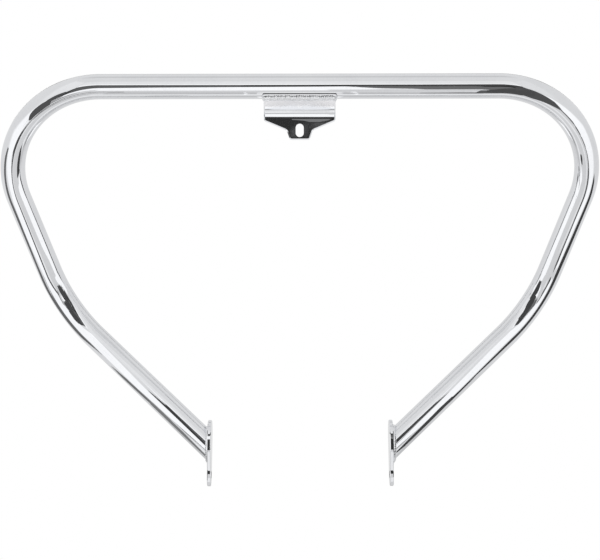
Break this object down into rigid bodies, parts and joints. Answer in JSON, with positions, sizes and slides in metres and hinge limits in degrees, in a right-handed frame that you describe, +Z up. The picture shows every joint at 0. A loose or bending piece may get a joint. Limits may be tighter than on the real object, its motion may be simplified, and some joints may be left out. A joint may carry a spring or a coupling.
{
  "type": "engine guard",
  "caption": "Chrome motorcycle engine guard: a wide open hoop of bent round tube with a folded, slotted bracket under its top bar and drilled end plates that bolt to the frame.",
  "frame": {"origin": "centre of the upper bracket's bolt slot, on the rear face that meets the frame", "axes": "+X to the right in a front view, +Y to the rear of the motorcycle, +Z up"},
  "size_m": [0.7754, 0.1706, 0.5304],
  "materials": {
    "chrome_tube": "mirror chrome plate",
    "chrome_plate": "polished chrome plate",
    "chrome_weld": "chrome plate over weld"
  },
  "bodies": {
    "root": {"guard_tube": "chrome_tube", "upper_bracket": "chrome_plate", "left_mount_plate": "chrome_plate", "right_mount_plate": "chrome_plate", "bracket_front_weld": "chrome_weld", "bracket_rear_weld": "chrome_weld", "foot_welds": "chrome_weld"}
  },
  "joints": []
}
